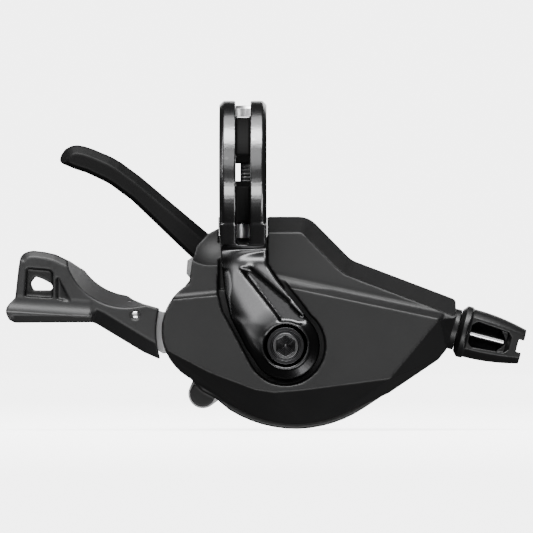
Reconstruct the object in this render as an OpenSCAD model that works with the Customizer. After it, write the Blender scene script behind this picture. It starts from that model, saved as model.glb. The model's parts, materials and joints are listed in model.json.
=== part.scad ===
// Trigger gear shifter for a straight bicycle handlebar, right-hand side.
// The origin is the centre of the handlebar bore. X runs along the handlebar,
// Z points up and Y points away from someone who looks at the front cover.

/* [Handlebar clamp] */
// Radius of the handlebar in the band
bar_r = 11.1; // [10.9:0.05:11.5]
// Radial wall of the band
band_wall = 3.9; // [3.4:0.1:4.2]
// Width of the band along the handlebar
band_w = 10; // [9:0.5:10.5]
// Width of each of the band's two rails
rail_w = 3.5; // [3:0.1:4]
// Depth of the channel between the rails
channel_depth = 1.8; // [1:0.1:2.4]
// Height of the window in the channel's front
window_h = 6.6; // [4:0.2:9]
// Width of the bevel along both edges of the band
band_bevel = 0.9; // [0.4:0.1:1.4]
// Opening between the two ears behind the handlebar
split_gap = 3.8; // [2:0.2:5]
// Reach of the ears behind the bore
ear_reach = 9.4; // [8.6:0.2:12]
// Height of each ear
ear_h = 5.6; // [4.5:0.2:7]
// Radius of the clamp bolt's waisted shank
clamp_shank_r = 1.95; // [1.5:0.05:2.2]
// Radius of the clamp bolt's thread
clamp_thread_r = 2.5; // [2.4:0.05:2.6]
// Sideways place of the clamp bolt
clamp_bolt_x = 1.35; // [0:0.05:1.8]

/* [Arm] */
// Thickness of the arm at its boss
arm_t = 5; // [4:0.1:5.2]
// Sideways place of the boss and its bolt
boss_x = 9; // [8.6:0.1:9.6]
// Drop of the boss below the handlebar's centre
boss_drop = 36.8; // [36.4:0.1:38]
// Radius of the boss
boss_r = 7.25; // [6.8:0.05:7.6]
// Gap beside the band and the arm's upper part
notch_gap = 0.2; // [0.15:0.05:0.5]
// Gap between the arm's lower part and the pocket that it lies in
pocket_gap = 1.2; // [0.6:0.1:1.5]
// Height of the rim round the counterbore
rim_h = 0.35; // [0.1:0.05:0.6]
// Depth of the long scoop in the arm
scoop_depth = 1.2; // [0.5:0.1:1.6]
// Width of the slope along the scoop's upper edge
scoop_streak = 0.9; // [0.4:0.1:1.2]
// Width of the bevel along the arm's left edge
arm_bevel_w = 1.9; // [1:0.1:2.2]
// Depth of that bevel, and of the slope round the boss
arm_bevel_d = 1.7; // [0.8:0.1:2]

/* [Mounting bolt] */
// Radius of the bolt's head
bolt_head_r = 4.05; // [3.8:0.05:4.2]
// Height of the bolt's head
bolt_head_h = 3; // [2.5:0.1:3.3]
// Radius of the bolt's thread
bolt_r = 2.5; // [2:0.1:2.6]
// Size of the hexagon across its flats
hex_af = 4; // [3:0.5:4.5]
// Depth of the hexagon
hex_depth = 2.2; // [1.5:0.1:2.3]

/* [Housing] */
// Sideways place of the main axle
axle_x = 2; // [1.6:0.1:2.2]
// Drop of the main axle below the handlebar's centre
axle_drop = 34; // [33.8:0.1:34.6]
// Distance from the axle to the cover's right end
reach = 43.4; // [42:0.2:46]
// Height of the cover's top edge above the axle
top_rise = 24.5; // [23.6:0.1:24.7]
// Radius of the cover's left end
left_r = 11.4; // [11.1:0.1:11.8]
// Distance from the axle to the centre of the left end
left_shift = 7.9; // [7.6:0.1:8.2]
// Radius of the cover's lower edge
belly_r = 25.2; // [24.8:0.1:25.6]
// Width by which the cap's lower edge stands out below the cover
belly_step = 1.2; // [0.4:0.1:2]
// Wall of the cover and the cap
wall = 1.8; // [1.4:0.1:2]
// Where the crease above the main face lies along Y
main_face_y = -4.2; // [-5:0.1:-3.8]
// Slope of the main face, in degrees
main_face_tilt = 5.5; // [3:0.5:7]
// Depth of the cove above the main face
cove_depth = 3; // [2:0.1:3.4]
// Depth of the cove left of the arm
left_cove_depth = 1.6; // [0.8:0.1:3]
// Width of the bevel along the top edges
bevel_w = 3.4; // [2:0.1:4]
// Radius of the top edge's corners
top_corner_r = 5; // [4:0.1:5.4]
// Radius of the corner above the adjuster
end_corner_r = 1.3; // [0.6:0.1:1.8]
// Where the top edges begin, behind the handlebar's axis
top_edge_y = 6.6; // [6.3:0.1:7]
// Radius of the scoop left of the band
cover_scoop_r = 9; // [8:0.2:9.2]
// Plane where the cover and the cap meet
parting_y = 14.6; // [14.3:0.1:15]
// Depth of the cap behind that plane
cap_depth = 5.6; // [5.2:0.1:6.5]
// Radius of the lug at lower left
lug_r = 3.1; // [2.6:0.1:3.4]

/* [Axle and plates] */
// Radius of the main axle
axle_r = 3; // [2.5:0.1:3.1]
// Thickness of the front plate
front_plate_t = 1.2; // [1:0.1:1.4]
// Thickness of the base plate
base_plate_t = 1.4; // [1:0.1:1.6]
// Radius of the spacer pillars
pillar_r = 1.8; // [1.4:0.1:1.9]
// Radius of the screws that hold the cap
screw_r = 1; // [0.8:0.1:1.1]
// Size of the axle nut across its flats
nut_af = 8; // [7:0.5:9]
// Thickness of the axle nut
nut_t = 1.5; // [1.2:0.1:1.7]

/* [Main lever] */
// Thickness of the main lever's steel core
main_core_t = 1.5; // [1.2:0.1:1.7]
// Width of the core's arm
main_core_w = 9; // [7.5:0.1:9.4]
// Depth of the main lever's pad
main_pad_t = 7; // [5:0.1:8]
// Width of the bevel along the pad's top edge
main_bevel = 1.8; // [0.8:0.1:2]
// Width of the bevel along the pad's lower edge
main_low_bevel = 0.9; // [0.4:0.1:1.2]
// Travel of the main lever, in degrees
main_travel = 45; // [30:15:45]

/* [Release lever] */
// Thickness of the release lever's steel core
release_core_t = 1.3; // [1:0.1:1.4]
// Width of the core's arm
release_core_w = 8.6; // [7:0.1:9]
// Depth of the release lever's pad behind its core
release_back = 3; // [2:0.1:3.5]
// Depth of the pad in front of its core
release_front = 6.6; // [5:0.1:7.5]
// Step of the finger flange in front of the pad
flange_step = 1.6; // [0.6:0.1:2.4]
// Depth of the recess in the pad's front
recess_depth = 3; // [1:0.1:4]
// Width of the bevel along the pad's top edge
release_bevel = 1.3; // [0.6:0.1:1.6]
// Width of the bevel along the pad's lower edge
release_low_bevel = 2.9; // [1.5:0.1:3.2]
// Width of the bevel along the flange's lower edge
flange_bevel = 1.8; // [0.8:0.1:2]
// Radius of the small hole that shows the core
peep_r = 0.95; // [0.5:0.05:1.2]
// Radius of the finger scoop in the pad's top
finger_r = 13.6; // [11:0.2:16]
// Lean of that scoop, in degrees
finger_lean = 19; // [14:1:24]
// Radius of the cove above the flange
cove_r = 3; // [2:0.1:4]
// Travel of the release lever downwards, in degrees
release_travel = 10; // [6:1:12]
// Travel that it gives upwards, in degrees
release_give = 5; // [2:1:6]

/* [Drum and ratchets] */
// Radius of the cable groove's floor
groove_r = 11.4; // [11:0.1:11.6]
// Width of the drum
drum_w = 2.6; // [2.2:0.1:2.6]
// Number of teeth that a full turn of each ratchet has
teeth = 24; // [20:1:24]
// Radius of the tooth tips of the index ratchet
index_tip_r = 12.6; // [12.2:0.1:12.8]
// Radius of the tooth tips of the drive ratchet
drive_tip_r = 11.4; // [11:0.1:11.6]
// Height of the teeth
tooth_h = 1.7; // [1.4:0.1:1.8]
// Thickness of each ratchet
ratchet_t = 1.4; // [1.2:0.1:1.4]
// Radius of the drum's hub
hub_r = 6; // [5.4:0.1:6.2]

/* [Pawls] */
// Radius of the pawls' round ends
pawl_r = 1.5; // [1.3:0.1:1.6]
// Radius of the pawls' pins
pawl_pin_r = 0.8; // [0.6:0.05:0.9]
// Length of the drive pawl
drive_pawl_l = 5.5; // [5:0.1:5.8]
// Length of the position pawl
position_pawl_l = 9.5; // [9:0.1:10]

/* [Cable adjuster] */
// Slope of the cable's way out of the cover, in degrees
cable_drop = 14.6; // [14:0.1:15]
// Radius of the adjuster's flange
knob_flange_r = 5.55; // [5.3:0.05:5.8]
// Thickness of the adjuster's flange
knob_flange_t = 2.3; // [1.8:0.1:2.6]
// Radius of the adjuster next to the flange
knob_r = 5.25; // [5:0.05:5.3]
// Radius of the adjuster at its outer end
knob_end_r = 3.7; // [3.4:0.1:4]
// Length of the adjuster
knob_l = 14.1; // [13.8:0.1:15]
// Share of the radius at which the flats in front and behind lie
knob_flat = 0.76; // [0.7:0.01:0.9]
// Share of the radius that is hollow
knob_hollow = 0.58; // [0.5:0.01:0.62]
// Width of the side window next to the flange
knob_window_w = 5.6; // [4.6:0.1:5.8]
// Width of the side window at its outer end
knob_window_end_w = 4.3; // [3:0.1:4.4]
// Radius of the neck in the cover's end
neck_r = 4.35; // [4:0.05:4.4]
// Radius of the 4 mm casing's socket
casing_r = 2.05; // [2:0.05:2.15]
// Depth of the casing's socket
casing_depth = 3; // [2.8:0.1:3.2]
// Radius of the guide tube
tube_r = 0.75; // [0.7:0.05:1]
// Radius of the inner cable's way
cable_way_r = 0.55; // [0.5:0.05:0.6]
// Width of the notch across the adjuster's end
notch_w = 2.65; // [2:0.05:3]
// Depth of that notch
notch_depth = 1.15; // [0.6:0.05:1.4]

/* [Fits] */
// Radial clearance of what turns, slides or is pressed together
fit = 0.05; // [0.02:0.01:0.08]
// Clearance between moving pieces
gap = 0.3; // [0.25:0.05:0.4]

/* [Hidden] */

$fn = 64;

// A length that reaches past everything
far = 100;
// A small length by which a cut passes the face that it opens
past = 1;

black_plastic = [0.16, 0.16, 0.17];
grey_plastic = [0.24, 0.24, 0.25];
satin_alloy = [0.45, 0.45, 0.47];
steel = [0.7, 0.7, 0.72];

// Places in the X-Z plane
axle = [axle_x, -axle_drop];
boss = [boss_x, -boss_drop];
top_z = axle[1] + top_rise;
left_c = [axle[0] - left_shift, axle[1] + 0.3];
belly_c = [axle[0] + 9.1, axle[1] + 5.7];
end_x = axle[0] + reach;

// Radii of the band
band_r = bar_r + band_wall;
notch_r = band_r + 0.5;
notch_half = band_w / 2 + notch_gap;

// Layers along Y, from the front to the back
floor_y = 1.6;
front_plate_y = floor_y + front_plate_t;
release_spring_y = front_plate_y + 0.2;
release_spring_t = 0.9;
release_y = release_spring_y + release_spring_t + 0.25;
index_y = release_y + release_core_t + 0.35;
drum_y = index_y + ratchet_t + 0.15;
drive_y = drum_y + drum_w + 0.15;
main_y = drive_y + ratchet_t + 0.4;
main_spring_y = main_y + main_core_t + 0.2;
main_spring_t = 1.4;
base_plate_y = main_spring_y + main_spring_t + 0.3;
nut_y = base_plate_y + base_plate_t;
cap_back_y = parting_y + cap_depth;
groove_y = drum_y + drum_w / 2;

function polar(r, a) = [r * cos(a), r * sin(a)];
function arc(c, r, a0, a1, n) = [for (i = [0:n]) c + polar(r, a0 + (a1 - a0) * i / n)];

function unit(v) = v / norm(v);
function angle(v) = atan2(v[1], v[0]);
function reversed(list) = [for (i = [len(list) - 1:-1:0]) list[i]];

// The corner at q between p and r, rounded in n steps
function corner(p, q, r, radius, n) =
    let (u = unit(p - q), v = unit(r - q), half = acos(u * v) / 2,
         c = q + unit(u + v) * radius / sin(half),
         a0 = angle(q + u * radius / tan(half) - c),
         a1 = angle(q + v * radius / tan(half) - c),
         turn = a1 - a0 > 180 ? a1 - a0 - 360 : a1 - a0 < -180 ? a1 - a0 + 360 : a1 - a0)
    arc(c, radius, a0, a0 + turn, n);

// Draws a flat outline in the X-Z plane and gives it depth from y0 to y1
module slab(y0, y1) {
    translate([0, y1, 0])
        rotate([90, 0, 0])
            linear_extrude(y1 - y0)
                children();
}

// Draws a flat outline in the Y-Z plane and gives it width from x0 to x1
module side(x0, x1) {
    translate([x0, 0, 0])
        rotate([90, 0, 90])
            linear_extrude(x1 - x0)
                children();
}

// A round piece along Y at a place in the X-Z plane
module rod(at, r, y0, y1) {
    translate([at[0], y1, at[1]])
        rotate([90, 0, 0])
            cylinder(r = r, h = y1 - y0);
}

module tube(at, r, bore, y0, y1) {
    difference() {
        rod(at, r, y0, y1);
        rod(at, bore, y0 - past, y1 + past);
    }
}

// A hexagon with its flats left and right, along Y
module hex_rod(at, af, y0, y1) {
    translate([at[0], y1, at[1]])
        rotate([90, 30, 0])
            cylinder(r = af / 2 / cos(30), h = y1 - y0, $fn = 6);
}

// Lap of two bevels that meet at a mitre, and the mitre's reach in widths of the bevel
mitre_lap = 0.05;
mitre_reach = 1.1;

// The direction in which a chain of points runs at point i
function run_at(points, i) = unit(
    (i > 0 ? unit(points[i] - points[i - 1]) : [0, 0]) +
    (i < len(points) - 1 ? unit(points[i + 1] - points[i]) : [0, 0]));

// Bevels along a chain of edges, mitred at its points. The solid lies to the right of the way
// that the points run, and the first and the last bevel pass their ends by spare.
module bevel_run(points, width, y_in, y_edge, spare) {
    last = len(points) - 1;
    for (i = [0:last - 1]) {
        p = i > 0 ? points[i] : points[0] - spare * run_at(points, 0);
        q = i < last - 1 ? points[i + 1] : points[last] + spare * run_at(points, last);
        in_p = [run_at(points, i)[1], -run_at(points, i)[0]];
        in_q = [run_at(points, i + 1)[1], -run_at(points, i + 1)[0]];
        on = mitre_lap * unit(q - p);
        intersection() {
            translate([p[0], 0, p[1]])
                rotate([0, -atan2(q[1] - p[1], q[0] - p[0]), 0])
                    side(-2 * width, norm(q - p) + 2 * width)
                        polygon([[-far, past], [y_edge + (y_edge - y_in) * past / width, past],
                                 [y_in, -width], [-far, -width]]);
            slab(-far, far)
                polygon([p - on - past * in_p, p - on + mitre_reach * width * in_p,
                         q + on + mitre_reach * width * in_q, q + on - past * in_q]);
        }
    }
}

// The same along edges whose face lies at points[i][2], with the bevel as deep as depth
module lean_run(points, width, depth, spare) {
    for (i = [0:len(points) - 2]) {
        p = points[i];
        q = points[i + 1];
        run = norm([q[0] - p[0], q[1] - p[1]]);
        translate([p[0], p[2], p[1]])
            rotate([0, -atan2(q[1] - p[1], q[0] - p[0]), 0])
                rotate([0, 0, atan2(q[2] - p[2], run)])
                    side(-spare, run + spare)
                        polygon([[-far, past], [depth, past], [depth, 0], [0, -width], [-far, -width]]);
    }
}

// A round piece about the handlebar's axis
module along_x(r, x0, x1) {
    translate([x0, 0, 0])
        rotate([0, 90, 0])
            cylinder(r = r, h = x1 - x0);
}

// A flat strip wound up from r0 to r1
module spiral(at, r0, r1, turns, strip, y0, y1) {
    steps = round(turns * 16);
    inner = [for (i = [0:steps]) polar(r0 + (r1 - r0) * i / steps, turns * 360 * i / steps)];
    outer = [for (i = [steps:-1:0]) polar(r0 + strip + (r1 - r0) * i / steps, turns * 360 * i / steps)];
    translate([at[0], 0, at[1]])
        slab(y0, y1)
            polygon(concat(inner, outer));
}

// Handlebar band and arm

split_low = -split_gap / 2;
split_high = split_gap / 2;
ear_end_y = bar_r + ear_reach;
clamp_bolt_y = ear_end_y - 4.2;
clamp_head_r = 3.6;
clamp_seat_z = split_high + ear_h - 2.2;
clamp_head_h = 4;
clamp_end_z = -band_r - 0.5;
bolt_room = 0.8;
bar_clear = 0.35;
channel_half = band_w / 2 - rail_w;
slot_top = band_r - channel_depth - 1.9;
slot_low = -bar_r + 0.4;
boss_face_y = -7;
arm_back_y = boss_face_y + arm_t;
bolt_seat_y = boss_face_y + 0.4 + bolt_head_h;
counterbore_r = bolt_head_r + 0.45;
rim_r = counterbore_r + 0.6;
arm_half = band_w / 2;

// The arm seen from the front, without the boss
function arm_outline() = [
    [-arm_half, -bar_r + 1.5], [-arm_half, -bar_r - 1], [-arm_half + 0.5, -19.8], [-3.8, -26.3],
    [-2.7, -30.8], [0.6, -37.3], boss + polar(boss_r, 207), boss,
    boss + polar(boss_r, 38), [12.5, -29.5], [7.4, -23.3], [arm_half + 0.2, -19.8],
    [arm_half, -17], [arm_half, -bar_r + 1.5]];

// The round hollow below the band, and the arm's sloping front between it and the boss
shoulder_c = [-7.6, -19.4];
shoulder_r = 3.3;
shoulder_y = -4.35;
shoulder_z = -20.7;
arm_low_z = -32.2;
arm_slope = 0.21;

// The arm seen from its left side, as Y and Z
function arm_section() = concat(
    [[-10.3, -bar_r], [-7.3, -14.9]],
    arc(shoulder_c, shoulder_r, 52, -24, 8),
    [[boss_face_y, arm_low_z], [boss_face_y, boss[1] - boss_r - past], [arm_back_y, boss[1] - boss_r - past],
     [arm_back_y, -25.2], [-0.2, -23], [-0.2, -14.4], [-6, -bar_r]]);

module arm() {
    intersection() {
        slab(-12, 4)
            union() {
                polygon(arm_outline());
                translate(boss)
                    circle(boss_r);
            }
        side(-12, boss[0] + boss_r + past)
            polygon(arm_section());
    }
}

// Where the arm's front lies along Y at a height z
function arm_front(z) = z > shoulder_z ? shoulder_y : boss_face_y + arm_slope * max(0, z - arm_low_z);

function on_arm(p) = [p[0], p[1], arm_front(p[1])];

// The arm's left edge from the boss upwards, as X, Z and Y
function arm_left() = [
    for (p = [boss + polar(boss_r, 207), [0.6, -37.3], [-2.7, -30.8], [-3.8, -26.3], [-4.45, -20.6]])
        on_arm(p)];

// The slope round the boss, from the arm's left edge to its scoop
module boss_slope() {
    intersection() {
        translate([boss[0], boss_face_y, boss[1]])
            rotate([-90, 0, 0])
                rotate_extrude()
                    polygon([[rim_r, -3], [rim_r, 0], [boss_r, arm_bevel_d], [boss_r + past, arm_bevel_d],
                             [boss_r + past, -3]]);
        slab(-far, far)
            translate(boss)
                polygon(concat([[0, 0]], arc([0, 0], 2 * boss_r, 207, 418, 8)));
    }
}

// The long tapered scoop in the arm's front, which runs out into that slope
module arm_scoop() {
    low = [9.9, -27.8];
    high = [0.9, -20.2];
    deep_z = high[1] - 1.3;
    difference() {
        intersection() {
            slab(-12, 4)
                polygon([[-0.9, high[1]], high, low, [12.4, -30.4], boss + polar(boss_r + past, 50), boss,
                         [7.6, -31]]);
            side(-12, boss[0] + boss_r)
                polygon([[-12, high[1] + 1.2], [shoulder_y + 0.2, high[1] + 1.2],
                         [arm_front(deep_z) + scoop_depth, deep_z],
                         [boss_face_y + scoop_depth, arm_low_z], [-12, -33]]);
        }
        rod(boss, rim_r, -far, far);
    }
    lean_run([on_arm(low), on_arm(high)], scoop_streak, scoop_depth, 0);
}

module ear(up) {
    outer = up * (up > 0 ? split_high : -split_low);
    side(-band_w / 2, band_w / 2)
        polygon([[6, outer], [6, up * 13.7], [ear_end_y - 1.5, outer + up * (ear_h + 0.6)],
                 [ear_end_y, outer + up * (ear_h - 0.8)], [ear_end_y, outer]]);
}

// The band before it is bored and cut, with its edges bevelled
module band_blank() {
    rotate([0, 90, 0])
        rotate_extrude()
            polygon([[0, -arm_half], [band_r - band_bevel, -arm_half], [band_r, band_bevel - arm_half],
                     [band_r, arm_half - band_bevel], [band_r - band_bevel, arm_half], [0, arm_half]]);
}

module clamp_band() {
    color(satin_alloy)
        difference() {
            union() {
                band_blank();
                ear(1);
                ear(-1);
                arm();
                rod(boss, rim_r, boss_face_y - rim_h, arm_back_y);
            }
            along_x(bar_r, -far, far);
            // The channel between the rails
            difference() {
                intersection() {
                    along_x(band_r + past, -channel_half, channel_half);
                    translate([-far, -far, -slot_top])
                        cube([2 * far, far + 9, far]);
                }
                along_x(band_r - channel_depth, -far, far);
            }
            // The window in its front, and the slots at the top and the bottom
            translate([-channel_half, -band_r - past, -window_h / 2])
                cube([2 * channel_half, band_wall + 3, window_h]);
            translate([-channel_half - 0.1, -12, slot_top])
                cube([2 * channel_half + 0.2, 22, far]);
            translate([-channel_half + 0.15, -band_r, -band_r - 0.5])
                cube([2 * channel_half - 0.3, band_r + 12, band_r + 0.5 + slot_low]);
            // The split between the ears and the clamp bolt's way
            translate([-far, 5, split_low])
                cube([2 * far, far, split_gap]);
            translate([clamp_bolt_x, clamp_bolt_y, 0])
                cylinder(r = clamp_thread_r + 0.2, h = far);
            translate([clamp_bolt_x, clamp_bolt_y, clamp_seat_z])
                cylinder(r = clamp_head_r + 0.2, h = far);
            translate([clamp_bolt_x, clamp_bolt_y, -far])
                cylinder(r = clamp_thread_r + fit, h = far);
            // The counterbore and the mounting bolt's way
            rod(boss, counterbore_r, -far, bolt_seat_y);
            rod(boss, bolt_r + 0.2, -far, far);
            arm_scoop();
            boss_slope();
            lean_run(arm_left(), arm_bevel_w, arm_bevel_d, 0.3);
        }
}

module clamp_bolt() {
    head_z = clamp_seat_z + clamp_head_h;
    color(steel)
        translate([clamp_bolt_x, clamp_bolt_y, 0])
            difference() {
                union() {
                    translate([0, 0, clamp_seat_z])
                        cylinder(r = clamp_head_r, h = clamp_head_h);
                    translate([0, 0, split_low - 0.4])
                        cylinder(r = clamp_shank_r, h = clamp_seat_z - split_low + 0.6);
                    translate([0, 0, clamp_end_z])
                        cylinder(r = clamp_thread_r, h = split_low - 0.4 - clamp_end_z);
                }
                translate([0, 0, head_z - hex_depth])
                    cylinder(r = hex_af / 2 / cos(30), h = far, $fn = 6);
            }
}

module mounting_bolt() {
    head_y = bolt_seat_y - bolt_head_h;
    color(steel)
        difference() {
            union() {
                rod(boss, bolt_head_r, head_y, bolt_seat_y);
                rod(boss, bolt_r, bolt_seat_y - past, front_plate_y - 0.1);
            }
            hex_rod(boss, hex_af, head_y - past, head_y + hex_depth);
            // The lead-in round the hexagon
            translate([boss[0], head_y + 0.5, boss[1]])
                rotate([90, 0, 0])
                    cylinder(r1 = hex_af * 0.55, r2 = hex_af * 0.55 + 1.5, h = 1.5);
        }
}

// Front cover

skirt_y = 4;
crease_right = [axle[0] + 8.1, axle[1] + 9.4];
crease_end = [end_x - 4, axle[1] + 2.8];
crease_left = [left_c[0] - 9, left_c[1] + 6.6];
crease_mid = [-5.4, axle[1] + 7.8];
end_high = [end_x - 0.5, axle[1] + 7];
top_bend = [axle[0] + 21, axle[1] + 15.3];
top_right = [axle[0] + 11.9, top_z];
end_low = [end_x, axle[1] + 6];

// The cover's right end above the adjuster, and its top edge from there to the left
function end_corner() = corner(end_low, end_high, top_bend, end_corner_r, 3);
function top_edge() = concat(
    corner(end_high, top_bend, top_right, top_corner_r, 3),
    corner(top_bend, top_right, [arm_half, top_z], top_corner_r, 4));

// The cover's right end, from its lower edge upwards
function right_edge() = [
    [end_x - 5.9, axle[1] - 7.1], [end_x - 4, axle[1] - 5.8], [end_x - 2.3, axle[1] - 3.7],
    [end_x - 0.3, axle[1] + 2.9]];

// The cover seen from the front
function cover_outline() = concat(
    arc(left_c, left_r, 119, 242, 16),
    [left_c + polar(left_r + 1.6, 258), [axle[0] - 6.5, axle[1] - 14.6]],
    arc(belly_c, belly_r, 246, 300, 10),
    [[end_x - 14.5, axle[1] - 12.9]], right_edge(), end_corner(), top_edge(),
    [[arm_half + notch_gap, top_z], [-2, top_z - 1.2], [-4.7, top_z - 2.2], [-7.5, top_z - 3.7],
     [-9.8, top_z - 6.2], [-10.8, top_z - 9.8]]);

// The main face, between its creases
function main_face() = concat(
    [crease_left, crease_mid, crease_right, crease_end, [end_x - 14.5, axle[1] - 9.9],
     [axle[0] + 10.5, axle[1] - 12.3], [axle[0] + 4.5, axle[1] - 12.8], [axle[0] + 0.5, axle[1] - 12.2],
     [axle[0] - 9.5, axle[1] - 8.4]],
    arc(left_c, left_r - 0.35, 202, 155, 5));

// The part of the outline that the skirt runs out to
function skirt_outline() = concat(
    arc(left_c, left_r, 124, 238, 14),
    arc(belly_c, belly_r, 246, 300, 10),
    [[end_x - 14.5, axle[1] - 12.9]], right_edge(), end_corner());

module main_and_skirt() {
    hull() {
        translate([0, main_face_y, crease_right[1]])
            rotate([-main_face_tilt, 0, 0])
                translate([0, 0, -crease_right[1]])
                    slab(0, 0.05)
                        polygon(main_face());
        slab(skirt_y, skirt_y + 0.5)
            polygon(skirt_outline());
    }
}

// What the cove and the sloping upper face take away above the crease from p to q
module cove_cut(p, q, cove_depth, reach_back, reach_on) {
    turn = atan2(q[1] - p[1], q[0] - p[0]);
    lean = asin(sin(turn) * tan(main_face_tilt));
    depth_at = main_face_y + (p[1] - crease_right[1]) * tan(main_face_tilt);
    cove = [for (a = [0:15:90]) [depth_at + cove_depth * sin(a), cove_depth * (1 - cos(a))]];
    translate([p[0], 0, p[1]])
        rotate([0, -turn, 0])
            rotate([0, 0, lean])
                side(-reach_back, norm(q - p) + reach_on)
                    polygon(concat([[-far, -past], [depth_at, -past]], cove,
                                   [[depth_at + cove_depth + 1.9, 14], [depth_at + cove_depth + 4, 30],
                                    [-far, 30]]));
}

module upper_body() {
    difference() {
        slab(-8, skirt_y + 0.4)
            intersection() {
                polygon(cover_outline());
                polygon([[-30, crease_left[1]], crease_left, crease_mid, crease_right, crease_end,
                         [end_x, crease_end[1] + 0.2], [end_x, 0], [-30, 0]]);
            }
        cove_cut(crease_right, crease_end, cove_depth, 13, 12);
        cove_cut(crease_left, crease_mid, left_cove_depth, 8, 4);
    }
}

// The room for the mechanism inside the cover
function room_outline() = concat(
    arc(left_c, left_r - wall, 128, 238, 12),
    arc(belly_c, belly_r - wall, 243, 299, 10),
    [[end_x - 7.1, axle[1] - 5.9], [end_x - 4.6, axle[1] - 3.6], [end_x - 3.6, axle[1] + 2.2],
     top_bend + [-1.7, -4.6], top_bend + [-3.6, -3.3], [axle[0] + 9.2, top_z - 4.7],
     [arm_half + 1.2, top_z - 4.7], [arm_half + 1.2, top_z - 8.1], [-3, top_z - 8.1],
     [-3.2, top_z - 10.3], [-8.6, top_z - 10.8], [-9.3, top_z - 14.2]]);

// The pocket in the cover that the arm lies in
module arm_pocket() {
    slab(-far, arm_back_y + gap)
        union() {
            polygon([[-arm_half - 0.4, -22], [-arm_half - 0.4, -25.8], [-4.5, -29.5], [-1.3, -35.4],
                     boss + polar(boss_r + pocket_gap, 207), boss, boss + polar(boss_r + pocket_gap, 24),
                     [14.4, -30.3], [12.1, -27.2], [9.7, -24.2], [7.9, -22]]);
            translate(boss)
                circle(boss_r + pocket_gap);
        }
    slab(-far, 0.1)
        polygon([[-notch_half, -25], [-notch_half, 0], [notch_half, 0], [notch_half, -19.6], [8.9, -25]]);
}

module sector(a0, a1, r, y0, y1) {
    translate([axle[0], 0, axle[1]])
        slab(y0, y1)
            polygon(concat([[0, 0]], arc([0, 0], r, a0, a1, 4)));
}

// Everything that keeps the housing clear of the handlebar, the band and the clamp bolt
module handlebar_room() {
    along_x(bar_r + bar_clear, -far, far);
    along_x(notch_r, -notch_half, notch_half);
    translate([-notch_half, 7, clamp_end_z - bolt_room])
        cube([2 * notch_half, far, far]);
}

cable_dir = [cos(cable_drop), -sin(cable_drop)];
cable_start = axle + polar(groove_r, 90 - cable_drop);
adjuster_run = (end_x - 0.05 - cable_start[0]) / cos(cable_drop);
adjuster_at = cable_start + adjuster_run * cable_dir;

// Puts a piece that stands on the X-Y plane on the cable's way out of the cover
module on_cable(s) {
    translate([adjuster_at[0] + s * cable_dir[0], groove_y, adjuster_at[1] + s * cable_dir[1]])
        rotate([0, 90 + cable_drop, 0])
            children();
}

neck_in = 7.5;
lug = [axle[0] - 10.6, axle[1] - 13.2];

module front_cover() {
    color(black_plastic)
        difference() {
            union() {
                main_and_skirt();
                upper_body();
                slab(skirt_y + 0.2, parting_y)
                    polygon(cover_outline());
                rod(lug, lug_r - 0.4, parting_y - 3.4, parting_y);
            }
            bevel_run(concat([[axle[0] - 2, top_z]], reversed(top_edge()), [end_high]), bevel_w, 0.3,
                      top_edge_y, past);
            // The glossy scoop left of the band
            translate([-6.8, -6, top_z - 2.3])
                sphere(r = cover_scoop_r);
            arm_pocket();
            handlebar_room();
            slab(floor_y, parting_y + past)
                polygon(room_outline());
            // Hollow behind the right half of the main face
            slab(main_face_y + 3.4, floor_y + past)
                polygon([[axle[0] + 17.5, axle[1] - 9.5], [end_x - 15, axle[1] - 8.5],
                         [end_x - 7, axle[1] - 1.6], [end_x - 7.5, axle[1] + 1],
                         [axle[0] + 17.5, axle[1] + 4.6]]);
            // The ways out of both levers
            sector(180 - release_give - slot_half, 180 + release_travel + slot_half, 30,
                   release_y - gap, release_y + release_core_t + gap);
            sector(main_angle - slot_spare, main_angle + main_travel + slot_spare, 40, pad_front_y - gap,
                   far);
            rod(boss, front_boss_r + fit, -far, far);
            rod(axle, axle_r + fit, floor_y - 0.6, far);
            on_cable(-neck_in)
                cylinder(r = neck_r + fit, h = neck_in + 3);
        }
}

// Base cap

// The cap seen from the front
function cap_outline() = concat(
    arc(axle, 17.4, 98, 208, 16),
    arc(belly_c, belly_r + belly_step, 238, 304, 12),
    right_edge(), end_corner(), top_edge(),
    [[notch_half, top_z], [notch_half, clamp_end_z - bolt_room - 0.1]]);

pillars = [axle + [22, 3], axle + [21.5, -9.4], axle + [5, -14.3], axle + [7.6, 14.6]];

module base_cap() {
    color(black_plastic)
        difference() {
            union() {
                slab(parting_y, cap_back_y - 1.4)
                    polygon(cap_outline());
                slab(cap_back_y - 1.6, cap_back_y)
                    offset(delta = -2.2)
                        polygon(cap_outline());
                slab(nut_y, cap_back_y - 1.4)
                    translate(lug)
                        circle(lug_r - 0.4);
            }
            difference() {
                slab(parting_y - past, cap_back_y - wall)
                    offset(delta = -wall)
                        polygon(cap_outline());
                for (p = [0:2])
                    rod(pillars[p], pillar_r + 0.8, nut_y, far);
            }
            // The slot that the base plate's lug comes out of
            slab(base_plate_y - fit, nut_y)
                hull() {
                    translate(lug)
                        circle(lug_r + gap);
                    translate(axle)
                        circle(8);
                }
            for (p = [0:2]) {
                rod(pillars[p], screw_r + 0.15, nut_y - past, far);
                rod(pillars[p], screw_r + 1, cap_back_y - 1, far);
            }
            handlebar_room();
        }
}

// Plates, axle and fasteners

front_boss_r = 4.2;

module front_plate() {
    color(steel)
        difference() {
            union() {
                slab(floor_y, front_plate_y)
                    union() {
                        translate(axle)
                            circle(9);
                        hull() {
                            for (p = pillars)
                                translate(p)
                                    circle(pillar_r + 0.6);
                        }
                    }
                rod(boss, front_boss_r, arm_back_y, front_plate_y);
            }
            rod(boss, bolt_r + fit, -far, far);
            rod(axle, axle_r + fit, -far, far);
            rod(position_pivot, pawl_pin_r + fit, -far, far);
        }
}

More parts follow.
